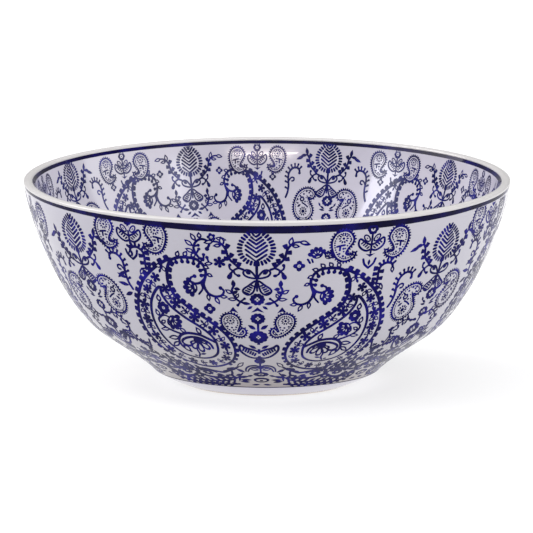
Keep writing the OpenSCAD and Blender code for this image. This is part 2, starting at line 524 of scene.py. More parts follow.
def tail_vine():
    """The beaded branch that springs from the tip of the large paisley towards the column."""
    spine = (
        (22, 39), (20.5, 37.2), (18.5, 36.4), (16, 37), (14.6, 39.5), (13.7, 43.5), (13.5, 48), (13.9, 52.5),
        (14.4, 57), (14.1, 61.5)
    )
    beads = (
        (21.0, 37.6, 100), (19.4, 36.6, 98), (17.8, 36.6, 92), (16.2, 37.6, 82), (14.8, 40.0, 62),
        (13.8, 45.0, 22), (13.6, 49.4, 14)
    )
    crest = ((20.6, 37.0, -112), (18.8, 36.2, -125), (16.9, 36.4, -135), (15.4, 38.0, 192))
    art = vine(1.35, *spine) + each(knob, beads, 3.3, 1.65, 1.1) + each(leaf, crest, 6.0, 3.4, 0.7)
    art += leaves((14.2, 42.2, 158, 5.8, 3.2, 0.7), (13.4, 48.4, 155, 5.6, 3.0, 0.7))
    curl = ((13.9, 52.5), (15.2, 56.0), (16.8, 57.0), (17.8, 55.2), (17.5, 52.2), (16.5, 51.0))
    art += vine(1.25, *curl, end=0.95)
    art += oval(spot(16.5, 51.0), 1.6) + carnation(spot(17.2, 60.0), 5, 8.0)
    art += vine(0.9, (15.0, 57.0), (14.8, 61), (16.0, 65.6))
    art += vine(1.35, (14.1, 61.5), (13.3, 65), (11.6, 67.0), (9.9, 65.6), (9.3, 62), (9.9, 60), end=1.0)
    art += oval(spot(10.1, 59.7), 1.6)
    return art + leaves(
        (13.6, 64.5, 92, 7.0, 3.2, 0.75), (11.9, 67.0, 118, 7.6, 3.4, 0.75), (10.6, 66.8, 178, 6.8, 3.0, 0.7)
    )


# ---------------------------------------------------------------------------
# The large paisley
# ---------------------------------------------------------------------------
BIG_EDGE = (
    (22.2, 38.5), (24.5, 41.5), (27.5, 47.5), (30.7, 56), (33.0, 65), (35.0, 77), (36.3, 90), (36.3, 104),
    (34.8, 117), (32.4, 128), (28.6, 139), (23.6, 145), (18, 145), (13, 139.5), (10, 131.5), (8.5, 121),
    (8.7, 110), (10.8, 99), (14.6, 88.5), (19.5, 78), (22.6, 69.5), (23.9, 60), (23.9, 51.5), (23.2, 44)
)
BIG_CORE = (
    (26.8, 62), (29.0, 68), (30.8, 77), (31.8, 90), (31.4, 104), (29.4, 117), (26.4, 127), (22.0, 131.5),
    (17.6, 129.5), (14.6, 123), (13.7, 113.5), (14.4, 104.5), (17.2, 95.5), (21.4, 87), (25.0, 77.5),
    (26.6, 69)
)
BEADS_END = 138                            # the level below which the large paisley's edge is plain


def sprig(base, turn):
    """Two open leaves and a bud on a short stalk, between the flowers of the border."""
    way = turned(turn)
    base = base - 3 * way
    art = line([base, base + 4.6 * way], 0.8) + leaf(base + 3.6 * way, turn, 4.0, 2.2)
    for side in (-1, 1):
        art += leaf(base + 0.6 * way, turn + 54 * side, 5.8, 3.2, 0.6)
    return art


def large_paisley():
    edge, core = route(*BIG_EDGE), route(*BIG_CORE)
    outline = smooth(edge, CURVE_STEP, closed=True)
    art = []
    for place, out in zip(*spaced(outline, 6.0)):
        if place.imag < BEADS_END:
            art += bead(place + 2.1 * out, angle(out))
    art += loop(edge, 1.5) + loop(core, 1.4)
    stars = (
        (27.4, 54.5), (30.7, 65.0), (33.2, 78.5), (34.0, 92.5), (33.6, 107.5), (31.2, 122), (25.8, 137),
        (18.2, 138.5), (12.2, 129), (11.2, 113), (13.9, 97.6), (18.6, 86.2), (23.2, 75), (25.3, 63.2)
    )
    for k, (deg, down) in enumerate(stars):
        art += star_flower(spot(deg, down), 5.0 if down > 70 else 4.2, 5 + k % 2, 17 * k)
    sprigs = (
        (25.3, 46.5, 62), (29.2, 60.0, 62), (32.1, 71.8, 76), (33.8, 85.5, 86), (34.0, 100, 92),
        (32.7, 114.8, 106), (28.8, 130, 130), (22.0, 139.5, 180), (14.6, 134.6, -140), (11.0, 121.0, -92),
        (12.2, 105.4, -72), (16.2, 91.9, -58), (20.9, 80.6, -60), (24.5, 69, -72)
    )
    return art + each(sprig, sprigs) + paisley_heart()


def paisley_heart():
    """The spray inside the large paisley's core."""
    stalk = ((27.7, 84), (28.8, 87.5), (30, 90.5), (29.8, 94.5), (28.4, 98.3), (26.6, 100.8), (24.2, 103.2))
    arch = (
        (13.9, 109.5), (16.2, 105.8), (18.5, 102.7), (21.5, 101.7), (23.5, 102.8), (25, 105.5), (25.9, 110),
        (25.9, 114.5), (25.2, 118.5), (23.6, 122)
    )
    hood = (
        (15.4, 116.5), (15.7, 112.5), (16.8, 109), (18.8, 106), (21.3, 105.5), (23.6, 107.5), (24.9, 110.5),
        (24.7, 113.5), (23.2, 115.3), (21.5, 113.5)
    )
    petals = (
        (160, 9, 4.8), (110, 9, 4.4), (74, 9, 4.4), (26, 10, 5.0), (134, 13.5, 7.2), (92, 14, 7.4),
        (52, 13, 7.0)
    )
    art = leaves((27.9, 75.5, -88, 7.4, 4.2, 0.85)) + ring_flower(spot(27.3, 80), 5.7, 7, 0.16, 0.24)
    art += vine(1.15, *stalk)
    art += leaves(
        (29.4, 88.5, -78, 7.4, 4.0, 0.8), (29.7, 94.4, -150, 6.4, 3.4, 0.75), (27.4, 99.2, 6, 10.0, 3.4, 0.75)
    )
    art += vine(0.9, (29.2, 88), (27.6, 86.6), (26.2, 88.4)) + carnation(spot(25.8, 90.4), 142, 8.6)
    art += vine(1.0, (27.0, 90.5), (27.4, 94.6), (26.0, 97)) + vine(1.5, *arch) + vine(1.35, *hood)
    for turn, long, wide in petals:
        art += drop(spot(19.5, 108.5), turn, long, wide, 0.85)
    art += oval(spot(19.5, 108), 4.4, 2.4)
    art += vine(1.1, (20.4, 114.5), (21.0, 119.5), (20.9, 124.5), (21.8, 129))
    art += leaves(
        (17.8, 102.6, -66, 8.4, 4.2, 0.85), (22.3, 101.8, -36, 8.0, 4.0, 0.85),
        (25.2, 107, 6, 12.5, 4.6, 0.95), (25.9, 111.5, 32, 11.5, 4.4, 0.95),
        (25.2, 114.0, 118, 10.5, 6.0, 1.05), (20.7, 125.5, -165, 6.8, 2.6)
    )
    return art + oval(spot(22.7, 127.6), 1.7, 1.3)


# ---------------------------------------------------------------------------
# Between the columns
# ---------------------------------------------------------------------------
def rim_group():
    """Two small paisleys under the rim with a bush between them. The group's axis is at x = 0."""
    seed = spot(1.3, 14.2)
    right = oval(seed, 3.7, 2.3, -50) + cut(oval(seed, 2.4, 1.15, -50)) + oval(seed, 1.0, 0.45, -50, 6)
    edge = (
        (0.1, 19.8), (1.6, 17.4), (3.0, 14.4), (3.4, 17.4), (3.1, 20.4), (2.2, 23.0), (1.1, 24.2), (0.1, 23.2)
    )
    right += vine(0.95, *edge)
    for k in range(4):
        centre = spot(0.85 + 0.52 * k, 21.7 - 1.35 * k)
        right += line([centre - 0.85 * turned(40), centre + 0.85 * turned(40)], 0.75)
    right += [(INK, route((0, 29.4), (1.3, 26.6), (0.5, 27.1), (0, 26.8)))]
    right += vine(1.05, (1.65, 31), (1.2, 35), (0, 38.4))
    art = both_sides(right)
    art += vine(0.95, (0, 9), (0, 26)) + leaves((0, 31.3, 90, 5.2, 2.2))
    art += ring_flower(spot(0, 7.4), 4.3, 6, 0.15, 0.42)
    return art + both_sides(moved(rim_paisley(), spot(-7.4, 19.0)))


def block_comb():
    """A comb of square pegs that curls over at the top."""
    stem = ((31.3, 53), (31.3, 48), (31.2, 42), (31.6, 38), (33.0, 35.6), (34.6, 36.6), (35.1, 40))
    head = (
        (31.7, 37.6, -135), (32.4, 36.2, -112), (33.2, 35.6, -88), (34.0, 35.8, -66), (34.8, 37.0, -40)
    )
    art = vine(1.2, *stem)
    pegs = (
        (31.2, 39.6, 180, 4.6, 4.2), (31.2, 44.2, 180, 4.6, 3.4), (31.2, 48.6, 180, 4.6, 3.4),
        (31.2, 42.4, 0, 4.6, 3.4), (31.2, 48.2, 0, 4.6, 3.4)
    )
    art += each(block_leaf, pegs)
    art += each(knob, head, 2.8, 1.15, 1.2) + leaves((34.9, 38.6, 78, 6.4, 3.2, 0.75))
    return art + vine(0.9, (31.3, 52.4), (32.7, 53.2)) + leaves((32.2, 52.4, 58, 7.4, 3.2, 0.75))


def peg_comb():
    """A taller comb of round pegs on a thin stem."""
    stem = (
        (37.0, 75), (37.7, 70), (38.0, 63), (37.8, 55), (38.3, 49.5), (39.6, 46.2), (41.0, 46), (41.8, 48),
        (41.9, 50.6)
    )
    pegs = (
        (37.9, 67, -150), (37.9, 61, -152), (37.8, 56, -150), (38.0, 52, -145), (38.6, 48.6, -132),
        (39.3, 46.8, -112), (40.2, 45.8, -92), (41.0, 46.0, -70), (41.7, 47.4, -45)
    )
    art = vine(1.25, *stem) + oval(spot(41.9, 51), 1.5) + each(knob, pegs, 3.5, 1.2, 1.0)
    return art + vine(0.95, (38.0, 59), (38.9, 55.6), (39.9, 55.8), (39.9, 58.4), (39.2, 59))


def peg_comb_leaves():
    """Leaves at the foot of the taller comb, where it stands high."""
    return leaves_to(
        3.4, 0, (38.0, 66, 40.8, 62.5), (37.8, 72, 41.4, 70.5), (37.4, 78, 40.2, 81.5), (37.9, 60, 40.9, 66.5)
    )


def extras_right():
    """What fills the space above the tail vine, where the field lies right of its first column."""
    art = ring_flower(spot(10.3, 33.8), 4.6, 4, 0.38, 0.3) + leaves_to(3.0, 0.7, (10.4, 14.6, 12.9, 17))
    art += each(carnation, ((14.6, 25.6, -104, 6.6), (17.2, 27.0, -60, 4.6)))
    return art + vine(0.9, (12.3, 28.6), (12.9, 31.6)) + vine(0.8, (13.3, 28.6), (13.6, 31.0))


def extras_left():
    """What fills that space where the field lies left of its first column: a sprig that curls over."""
    spine = (
        (13, 30), (14, 28), (14.8, 24), (15.1, 19.5), (14.3, 15), (13, 13), (11.8, 14), (11.2, 17), (11.7, 20)
    )
    art = vine(1.1, *spine) + oval(spot(11.8, 20.6), 1.7)
    art += leaves_to(
        3.3, 0.7, (15, 24, 17.3, 21), (15.2, 19, 17.3, 14), (14.4, 15, 15.7, 8.6), (13.4, 13, 13.6, 7.6)
    )
    art += each(knob, ((15, 19, 196), (14.4, 24, 240)), 3.4, 1.3)
    art += ring_flower(spot(10.6, 11.2), 3.4, 5, 0.3, 0.3) + leaves_to(3.0, 0.6, (9.7, 11.6, 6.9, 13.2))
    art += star_flower(spot(9, 31), 4.6, 6)
    art += each(knob, ((12.9, 29.6, -95, 4.2, 1.4), (11.7, 31, -75, 3.6, 1.4)))
    return art + leaves_to(3.0, 0.7, (10.6, 32, 13.0, 33)) + ring_flower(spot(12.9, 71.5), 5.0, 4, 0.3, 0.3)


def column_side_paisley():
    """The little paisley beside the column's flowers, with the cap above it."""
    edge = route(
        (4.8, 84), (5.5, 78), (7, 75.3), (8.8, 76), (10, 79.5), (10.2, 85), (9.5, 90), (8.3, 94), (6.8, 97),
        (5, 98), (3.9, 96.3), (3.4, 93.5), (3.6, 90.5), (4.4, 88.8), (5.1, 90.2), (5.8, 92.5)
    )
    dots = (
        (6.2, 88.2), (7.4, 88.6), (8.6, 87.6), (7.0, 91.0), (8.2, 90.8), (4.5, 92.6), (5.2, 95.0),
        (6.6, 93.8), (9.0, 84.6)
    )
    detail = daisy(spot(7.6, 82.0), 3.9, 1.1) + each(oval, dots, 1.0, 0.9, 0, 6)
    detail += [(INK, route((6.5, 69.0), (7.8, 74.2), (6.6, 73.0), (5.2, 74.6)))]
    return spiky_paisley(edge, detail, 2.2)


def column_b_paisley():
    """The paisley beside the second column, whose axis is at x = 0. Its tail curls towards the column."""
    edge = route(
        (-5.2, 67.4), (-4.3, 64), (-4.7, 60), (-6.3, 57.2), (-8.6, 57.6), (-10.8, 62), (-12.1, 70),
        (-12.4, 78), (-11.4, 85), (-9.4, 89), (-7.0, 88.6), (-5.2, 84), (-4.8, 78), (-5.9, 71.5),
        (-6.9, 67), (-6.3, 66.4)
    )
    dots = (
        (-8.6, 63), (-5.9, 64.4), (-6.6, 61.6), (-7.6, 60.2), (-9.9, 65), (-10.9, 68.4), (-10.8, 72),
        (-9.9, 87), (-7.2, 86.6), (-8.0, 70.4), (-6.2, 60)
    )
    detail = ring_flower(spot(-9.2, 68), 2.9, 6, 0.15, 0.4) + daisy(spot(-8.6, 80), 4.9, 1.9)
    detail += vine(0.85, (-9.1, 71.6), (-8.0, 73.2), (-6.9, 75.6)) + leaves_to(2.2, 0, (-10.9, 76, -9.6, 73))
    detail += vine(0.6, (-7.4, 64.5), (-6.6, 69), (-5.9, 73.6)) + each(oval, dots, 1.1, 1.0, 0, 6)
    return spiky_paisley(edge, detail, 2.3, 1.9)


def garland():
    """The flowering arm beside the second column's flowers, left of its axis."""
    pairs = (
        (-4.4, 90.4, -118), (-4.6, 91.2, 100), (-5.8, 91.4, -150), (-6.0, 92.4, 62), (-7.2, 93.4, -160),
        (-7.4, 95.0, 48), (-8.4, 97.0, 180)
    )
    art = vine(0.9, (-0.6, 92.8), (-3.0, 91.8), (-4.8, 90.4), (-6.6, 92.4), (-8.2, 96.0), (-9.0, 99.5))
    art += each(leaf, ((-0.4, 92.8, 196), (-1.9, 92.6, 190), (-3.4, 91.4, 200)), 5.2, 2.9)
    art += each(leaf, pairs, 4.6, 2.5) + vine(1.2, (-9.0, 99.0), (-8.8, 103), (-8.0, 107), (-6.6, 109.4))
    art += each(knob, ((-8.7, 102.4, 20, 3.6, 1.3), (-8.0, 100.4, -20, 3.4, 1.2)))
    art += leaves((-9.0, 99.6, 200, 4.6, 2.6)) + carnation(spot(-6.9, 109.6), 52, 7.0)
    art += vine(1.0, (-8.5, 106), (-8.8, 112), (-9.4, 118)) + star_flower(spot(-10.6, 118.0), 4.0, 6)
    return art + leaves((-9.0, 113, 210, 5.6, 2.6), (-8.8, 114, 60, 6.0, 2.6))


def leafy_vine(gap, length, width, *points, lean=52):
    """A vine with solid leaves on alternate sides."""
    path = smooth(route(*points), CURVE_STEP)
    art = vine(1.1, *points)
    for k, (place, side) in enumerate(zip(*spaced(path, gap, closed=False))):
        sign = 1 if k % 2 else -1
        art += leaf(place, angle(side * sign) - sign * (90 - lean), length, width)
    return art


def flat_flower(centre, rx, ry):
    """A flower seen almost edge-on."""
    return rosette(centre, rx, ry, 8, 0.2) + cut(oval(centre, 2.2, 1.0))


def flat_paisley(centre, facing):
    """A paisley seen almost edge-on above the foot: an outline, a flower and a curl. facing is 1 or -1."""
    edge = route(
        (-8.4, -6), (-8.0, 1.5), (-4.5, 6.5), (1, 7.6), (5.8, 5), (7.6, 0.2), (6.4, -4.6), (2.8, -6.4),
        (-1.2, -3.6), (-5.0, -2.2)
    )
    art = loop(edge, 1.7) + flat_flower(spot(2.6, 0), 7.8, 3.9)
    art += leaves((-3.4, 4.4, 8, 9, 3.0), (4.2, 5.6, -20, 7, 2.4))
    art += vine(1.2, (-1.5, -1), (2, -4.4), (5.4, -2.6))
    art += leaves((-1.4, 1.2, 160, 10, 3.6), (-0.6, 3.6, 176, 8, 2.6), (-6.8, -7.5, 200, 9, 4.0))
    return [(ink, centre + facing * p.real + 1j * p.imag) for ink, p in art]


def lower_zone():
    """What fills the steep turn above the foot, from one column to the next."""
    art = leaves_to(4.8, 0.8, (8.8, 141.5, 5.8, 132), (42.6, 141.5, 45.6, 132))
    art += vine(1.6, (8.8, 141.5), (11, 146), (15.2, 150))
    art += vine(1.6, (42.6, 141.5), (40.6, 146), (37.4, 150))
    art += leaves_to(4.6, 0, (9.4, 142.5, 13.6, 147)) + leaves_to(4.4, 0, (9.6, 145, 6.4, 150.5))
    art += each(flat_paisley, ((20.6, 154, 1), (36.6, 155.5, -1)))
    climber = ((24.6, 149.6), (29, 148.6), (33.5, 144.5), (37.5, 138.5), (40, 131.5), (41, 124))
    art += leafy_vine(4.0, 9.0, 4.8, *climber)
    art += leafy_vine(4.0, 8.4, 4.4, (48.2, 126), (46.4, 135), (45.4, 143), (46.4, 150))
    art += leafy_vine(4.0, 6.4, 3.6, (36.0, 128), (33.6, 137), (30.0, 143.5))
    art += each(star_flower, ((43.6, 137, 5.0, 6), (38.6, 146.5, 5.0, 5), (44.0, 125, 4.6, 6)))
    art += leaves_to(
        4.4, 0, (36.2, 134.5, 34.6, 126), (43.2, 126, 45.4, 133.5), (38.4, 121, 41, 115), (40.6, 147, 45, 156)
    )
    low_vine = (
        (7.6, 152), (9.6, 158), (13, 163.4), (19, 166.6), (27, 167.6), (35.5, 166), (42, 161), (43.6, 155)
    )
    art += leafy_vine(4.6, 9.6, 3.4, *low_vine, lean=28)
    art += leafy_vine(5.2, 9.5, 2.2, (10.5, 169.6), (18, 171), (27, 171.4), (36, 170.8), (44, 168.6), lean=14)
    art += leaves_to(3.8, 0, (10.4, 160.0, 5.2, 157.2)) + leaves_to(3.0, 0, (9.6, 163.5, 4.4, 163))
    art += each(flat_flower, ((13.6, 158.6), (29.0, 160), (44.2, 163)), 7.0, 3.6)
    art += each(knob, ((37.8, 117, -40, 4.4, 1.3), (38.2, 113, 10, 4.0, 1.3)))
    return art + vine(1.1, (37.0, 109), (38.2, 117), (40.2, 124), (41.6, 130))


FIELD = 51.4                               # degrees from one column to the next as the art is drawn


def raised(art, along, down, stretch=1.0):
    """The art stretched downward, then moved by degrees along and millimetres down."""
    return [(ink, p.real + along * MM_PER_DEG + 1j * (stretch * p.imag + down)) for ink, p in art]


def high_paisley():
    """The large paisley and its tail where they reach up between the columns."""
    return raised(large_paisley() + tail_vine(), -0.8, -9.7, 1.046)


def beside_columns(second_down):
    """What stands beside the two columns of a field. The second column's share may sit higher or lower."""
    first = lower_zone() + side_vine() + wreath_vine() + column_side_paisley()
    second = column_b_paisley() + garland() + moved(mirrored(side_vine(False)), 7.4j)
    return first + moved(second, spot(FIELD, second_down))


def right_field():
    """The outside's field to the right of its first column, without the columns themselves."""
    art = large_paisley() + tail_vine() + extras_right() + block_comb() + peg_comb()
    return art + moved(rim_group(), spot(28.0, 0)) + beside_columns(0)


def left_field():
    """The outside's field to the left of its first column, drawn as if it lay to the right."""
    art = high_paisley() + extras_left() + raised(block_comb(), -2.6, -12)
    art += raised(peg_comb() + peg_comb_leaves(), -2.4, -15)
    return art + moved(rim_group(), spot(32.0, -4.5)) + beside_columns(-4.5)


def inner_field():
    """The inside's field, on either side of its first column."""
    art = high_paisley() + raised(peg_comb(), -1.2, -19) + moved(rim_group(), spot(25.2, 0))
    for deg, down in ((30.8, 36), (11.1, 29)):
        art += ring_flower(spot(deg, down), 4.0, 4, 0.38, 0.35)
    return art + beside_columns(-10.5)


def floor_rosette():
    """The middle of the floor, seen from above: a ring and a wheel of leaves round a flower."""
    turn = np.arange(0, 360, 10)
    art = loop(56 * np.exp(1j * np.radians(turn)), 1.6) + loop(52.4 * np.exp(1j * np.radians(turn)), 0.7)
    for k in range(12):
        way = turned(30 * k)
        art += line([12 * way, 20 * way], 1.0)
        art += leaf(19 * way, 30 * k, 15, 7.0, 0.9) + leaf(23 * way, 30 * k, 7, 2.6)
        way = turned(30 * k + 15)
        art += line([12 * way, 34 * way], 0.9) + knob(34 * way, 30 * k + 15, 3.0, 1.8)
        art += leaf(28 * way, 30 * k - 28, 8, 3.4) + leaf(28 * way, 30 * k + 58, 8, 3.4)
        art += oval(46.5 * way, 2.4, 1.5, 30 * k + 15) + oval(46.5 * turned(30 * k), 1.2, sides=8)
    art += rosette(0, 12, 12, 12, 0.14) + cut(oval(0, 5.0)) + oval(0, 3.2)
    return art

# ---------------------------------------------------------------------------
# Materials
# ---------------------------------------------------------------------------
def new_material(name):
    """A material with a fresh Principled shader. Returns the material, its tree and the shader."""
    mat = bpy.data.materials.new(name)
    mat.use_nodes = True
    tree = mat.node_tree
    return mat, tree, tree.nodes["Principled BSDF"]


def noise(tree, scale, detail=4.0, roughness=0.5, stretch=None):
    """A noise texture in the object's own space, in features per metre."""
    coords = tree.nodes.new("ShaderNodeTexCoord")
    place = coords.outputs["Object"]
    if stretch:
        mapping = tree.nodes.new("ShaderNodeMapping")
        mapping.inputs["Scale"].default_value = stretch
        tree.links.new(place, mapping.inputs["Vector"])
        place = mapping.outputs["Vector"]
    tex = tree.nodes.new("ShaderNodeTexNoise")
    tex.inputs["Scale"].default_value = scale
    tex.inputs["Detail"].default_value = detail
    tex.inputs["Roughness"].default_value = roughness
    tree.links.new(place, tex.inputs["Vector"])
    return tex.outputs["Fac"]


def ramp(tree, value, stops):
    """A colour ramp. stops is a list of (position, (r, g, b))."""
    node = tree.nodes.new("ShaderNodeValToRGB")
    elements = node.color_ramp.elements
    while len(elements) < len(stops):
        elements.new(0.5)
    for element, (position, colour) in zip(elements, stops):
        element.position = position
        element.color = (*colour, 1)
    tree.links.new(value, node.inputs["Fac"])
    return node.outputs["Color"]


def mixed(tree, factor, a, b, blend="MIX", amount=1.0):
    """Two colours mixed by a factor socket, or by a fixed amount where factor is None."""
    node = tree.nodes.new("ShaderNodeMix")
    node.data_type = "RGBA"
    node.blend_type = blend
    if factor is None:
        node.inputs[0].default_value = amount
    else:
        tree.links.new(factor, node.inputs[0])
    tree.links.new(a, node.inputs[6])
    tree.links.new(b, node.inputs[7])
    return node.outputs[2]


def height(tree, low, high):
    """0 below one height of the object's own space and 1 above another, in metres."""
    coords = tree.nodes.new("ShaderNodeTexCoord")
    split = tree.nodes.new("ShaderNodeSeparateXYZ")
    tree.links.new(coords.outputs["Object"], split.inputs["Vector"])
    return ranged(tree, split.outputs["Z"], 0.0, 1.0, low, high)


def ranged(tree, value, low, high, start=0.3, stop=0.7):
    """value between start and stop, mapped to low..high."""
    node = tree.nodes.new("ShaderNodeMapRange")
    node.inputs["From Min"].default_value = start
    node.inputs["From Max"].default_value = stop
    node.inputs["To Min"].default_value = low
    node.inputs["To Max"].default_value = high
    tree.links.new(value, node.inputs["Value"])
    return node.outputs["Result"]


def bumped(tree, shader, height, distance, strength):
    node = tree.nodes.new("ShaderNodeBump")
    node.inputs["Distance"].default_value = distance
    node.inputs["Strength"].default_value = strength
    tree.links.new(height, node.inputs["Height"])
    tree.links.new(node.outputs["Normal"], shader.inputs["Normal"])


def glassy(shader, level, coat):
    """A clear glassy surface."""
    shader.inputs["IOR"].default_value = 1.5
    shader.inputs["Specular IOR Level"].default_value = level
    shader.inputs["Coat Weight"].default_value = coat
    shader.inputs["Coat Roughness"].default_value = 0.03


LOW_WALL_SHADE_HEIGHTS = (0.010, 0.055)                # heights in metres between which the painted shade and floor reflection low on the wall fades out
LIP_TINT_HEIGHTS = (0.1455, 0.1480)               # heights in metres between which a top tone comes in
WHITE = (1, 1, 1)


def glaze_material(name, pale, shade, speck, roughness, bump, painted_low_shade=WHITE, top_tone=WHITE):
    """Glassy white glaze: faint clouds of colour, pin-point iron specks and a soft orange peel. Low on the
    wall it may be darkened towards a warm low colour, as painted shade and reflection of the floor below, and
    on the lip tinted towards a top colour."""
    mat, tree, shader = new_material(name)
    clouds = ramp(tree, noise(tree, 9, 5), [(0.3, shade), (0.7, pale)])
    # Low on the wall this darkening is painted shade and reflection of the floor; on the lip it is a warmer
    # tint.
    for low, high, reach in ((painted_low_shade, WHITE, LOW_WALL_SHADE_HEIGHTS), (WHITE, top_tone, LIP_TINT_HEIGHTS)):
        if low != high:
            low_shade_and_lip_tint = ramp(tree, height(tree, *reach), [(0.0, low), (1.0, high)])
            clouds = mixed(tree, None, clouds, low_shade_and_lip_tint, "MULTIPLY")
    specks = ramp(tree, noise(tree, 420, 2, 0.6), [(0.0, speck), (0.235, WHITE)])
    tree.links.new(mixed(tree, None, clouds, specks, "MULTIPLY", 0.5), shader.inputs["Base Color"])
    tree.links.new(ranged(tree, noise(tree, 60, 3), roughness, roughness + 0.05), shader.inputs["Roughness"])
    bumped(tree, shader, noise(tree, 75, 2), 0.0006, bump)
    glassy(shader, 0.35, 0.25)
    return mat


def cobalt_material(name, deep, middle, thin, scale, roughness, level):
    """Cobalt under clear glaze: it pools dark in places and thins to blue in others."""
    mat, tree, shader = new_material(name)
    pools = ramp(tree, noise(tree, scale, 5, 0.6), [(0.34, deep), (0.52, middle), (0.72, thin)])
    grain = ramp(tree, noise(tree, scale * 7, 3, 0.6), [(0.3, (0.72, 0.72, 0.80)), (0.65, WHITE)])
    tree.links.new(mixed(tree, None, pools, grain, "MULTIPLY", 0.8), shader.inputs["Base Color"])
    tree.links.new(ranged(tree, noise(tree, 90, 3), roughness, roughness + 0.07), shader.inputs["Roughness"])
    bumped(tree, shader, noise(tree, 260, 3), 0.0004, 0.12)
    glassy(shader, level, 0.0)
    return mat


def clay_material():
    """Bare fired porcelain: matt, a little warm, finely pitted, with rings from the wheel."""
    mat, tree, shader = new_material("bare_clay")
    tone = ramp(tree, noise(tree, 40, 5, 0.6), [(0.3, (0.50, 0.40, 0.33)), (0.7, (0.68, 0.60, 0.53))])
    grit = ramp(tree, noise(tree, 1500, 2, 0.5), [(0.32, (0.55, 0.5, 0.46)), (0.5, WHITE)])
    tree.links.new(mixed(tree, None, tone, grit, "MULTIPLY", 0.6), shader.inputs["Base Color"])
    tree.links.new(ranged(tree, noise(tree, 700, 3), 0.62, 0.85), shader.inputs["Roughness"])
    bumped(tree, shader, noise(tree, 900, 4, 0.6, (1, 1, 3)), 0.0003, 0.5)
    return mat


WHITE_GLAZE = glaze_material(
    "white_glaze_finish", (0.455, 0.442, 0.502), (0.430, 0.416, 0.474), (0.50, 0.42, 0.40), 0.12, 0.10,
    top_tone=(0.97, 0.98, 0.86)
)
# A darker copy of the white glaze: painted shade on the outer wall, darkened further low on the wall as
# painted shade and reflection of the floor.
OUTER_GLAZE_SHADED = glaze_material(
    "outer_glaze_painted_shade", (0.376, 0.369, 0.417), (0.347, 0.340, 0.386), (0.46, 0.38, 0.36), 0.06, 0.10,
    painted_low_shade=(0.86, 0.80, 0.72)
)
# A lighter copy of the white glaze: painted light on the side of the foot.
FOOT_GLAZE_LIT = glaze_material(
    "foot_glaze_painted_light", (0.540, 0.518, 0.600), (0.500, 0.478, 0.560), (0.50, 0.42, 0.40), 0.12, 0.16
)
PRINT_COBALT = cobalt_material(
    "cobalt_print_finish", (0.001, 0.001, 0.036), (0.003, 0.002, 0.082), (0.012, 0.010, 0.200),
    60, 0.10, 0.05
)
INNER_COBALT = cobalt_material(
    "inner_cobalt_finish", (0.001, 0.002, 0.040), (0.005, 0.007, 0.090), (0.018, 0.018, 0.200),
    60, 0.16, 0.26
)
BAND_COBALT = cobalt_material(
    "cobalt_band_finish", (0.0010, 0.0008, 0.012), (0.002, 0.001, 0.032), (0.005, 0.004, 0.100),
    45, 0.08, 0.07
)
CLAY = clay_material()

# ---------------------------------------------------------------------------
# Turned pieces: glaze coats and painted bands
# ---------------------------------------------------------------------------
TURN_STEPS = 288
CORNER = math.radians(35)


def set_uv(mesh, corner_uv):
    layer = mesh.uv_layers.new(name="OFBake")
    layer.data.foreach_set("uv", np.asarray(corner_uv, np.float32).ravel())


def ready(piece, material, slot, *nodes):
    """The frame's calls that every piece of the bowl needs."""
    piece.data.materials.append(material)
    bpy.context.scene.collection.objects.link(piece)
    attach(piece, "root")
    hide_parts(*nodes)
    return piece


def turned_piece(name, profile, material, slot, node):
    """A closed profile turned round the bowl's axis. Its points run anticlockwise, as (radius, height)."""
    profile = np.asarray(profile, float)
    count = len(profile)
    turn = np.arange(TURN_STEPS) * 2 * np.pi / TURN_STEPS
    length = np.concatenate([[0], np.cumsum(np.linalg.norm(np.roll(profile, -1, 0) - profile, axis=1))])
    v = length / length[-1]
    points, rows, start = [], [], 0
    for r, z in profile:
        ring = turn if r > 0 else turn[:1]
        points.append(np.stack([r * np.cos(ring), r * np.sin(ring), np.full(len(ring), z)], 1))
        rows.append(start + np.arange(TURN_STEPS) % len(ring))
        start += len(ring)
    here = np.arange(TURN_STEPS)
    faces, uvs = [], []
    for i in range(count):
        low, high = rows[i], rows[(i + 1) % count]
        corners = np.stack([low, np.roll(low, -1), np.roll(high, -1), high], 1)
        u = np.stack([here, here + 1, here + 1, here], 1) / TURN_STEPS
        w = np.broadcast_to([v[i], v[i], v[i + 1], v[i + 1]], u.shape)
        keep = [0, 1, 2, 3]
        if profile[i, 0] == 0 and profile[(i + 1) % count, 0] == 0:
            continue
        if profile[i, 0] == 0:
            keep = [0, 2, 3]
        if profile[(i + 1) % count, 0] == 0:
            keep = [0, 1, 2]
        faces += corners[:, keep].tolist()
        uvs.append(np.stack([u[:, keep], w[:, keep]], 2).reshape(-1, 2))
    mesh = bpy.data.meshes.new(name)
    mesh.from_pydata((np.concatenate(points) * MM).tolist(), [], faces)
    set_uv(mesh, np.concatenate(uvs))
    mesh.shade_smooth()
    mesh.set_sharp_from_angle(angle=CORNER)
    return ready(bpy.data.objects.new(name, mesh), material, slot, node)


def closed(top, bottom):
    """A closed profile between two paths that run the same way."""
    return np.concatenate([top, bottom[::-1]])


outside = np.concatenate([[joint, line_head], lower_wall[1:], upper_wall])
over_lip = np.concatenate([[band_head, lip_side], crown, [inner_head]])
inside = np.concatenate([[inner_foot], inner_wall, inner_floor])


def axis_end(path):
    """The path with its last point put exactly on the axis."""
    path = path.copy()
    path[-1, 0] = 0.0
    return path


def outer_coat():
    """Wall coat, up to the lip. Its surface dips under the foot line."""
    line = np.array([joint, line_head])
    surface = np.concatenate([outside[1:], [band_foot, band_head]])
    under = offset(np.concatenate([outside, [band_head]]), GLAZE_T)
    wall = closed(np.concatenate([offset(line, COBALT_T), surface]), under)
    turned_piece("outer_glaze_coat", wall, OUTER_GLAZE_SHADED, "white_glaze", "outer_glaze")
    ring = closed(line, offset(line, COBALT_T))
    turned_piece("foot_line_ring", ring, BAND_COBALT, "cobalt_band", "foot_line")


